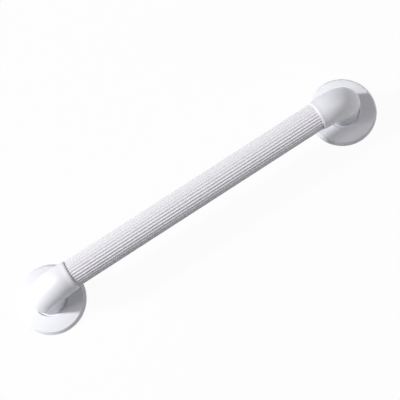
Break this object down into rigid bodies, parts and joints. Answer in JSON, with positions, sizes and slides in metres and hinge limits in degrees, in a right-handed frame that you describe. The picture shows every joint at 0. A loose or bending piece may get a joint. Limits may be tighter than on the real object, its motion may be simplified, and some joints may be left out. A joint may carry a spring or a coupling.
{
  "type": "grab bar",
  "caption": "Straight wall grab bar: a fluted plastic grip on an aluminium core, moulded elbows, round wall feet and low covers that slide up to reach the fixing screws.",
  "frame": {"origin": "on the wall's face, midway between the centres of the two wall feet", "axes": "+X along the grip from the left foot to the right foot, +Z out of the wall, +Y across the bar"},
  "size_m": [0.5406, 0.0906, 0.1367],
  "materials": {
    "extruded_pvc": "white extruded PVC, satin, fluted along its length",
    "moulded_abs": "white injection moulded ABS, soft gloss",
    "core_aluminium": "mill finish tube",
    "zinc_steel": "bright zinc plated steel",
    "plug_nylon": "grey moulded nylon"
  },
  "bodies": {
    "bar": {"grip_sleeve": "extruded_pvc", "core_tube": "core_aluminium", "left_elbow": "moulded_abs", "left_grub_screw": "zinc_steel", "left_wall_screw_1": "zinc_steel", "left_wall_screw_2": "zinc_steel", "left_wall_screw_3": "zinc_steel", "left_wall_plug_1": "plug_nylon", "left_wall_plug_2": "plug_nylon", "left_wall_plug_3": "plug_nylon", "right_elbow": "moulded_abs", "right_grub_screw": "zinc_steel", "right_wall_screw_1": "zinc_steel", "right_wall_screw_2": "zinc_steel", "right_wall_screw_3": "zinc_steel", "right_wall_plug_1": "plug_nylon", "right_wall_plug_2": "plug_nylon", "right_wall_plug_3": "plug_nylon"},
    "cover_left": {"left_cover": "moulded_abs"},
    "cover_right": {"right_cover": "moulded_abs"}
  },
  "joints": [
    {"name": "left_cover_slide", "type": "slide", "parent": "bar", "child": "cover_left", "axis": [0, 0, 1], "range_m": [0, 0.022]},
    {"name": "right_cover_slide", "type": "slide", "parent": "bar", "child": "cover_right", "axis": [0, 0, 1], "range_m": [0, 0.022]}
  ]
}
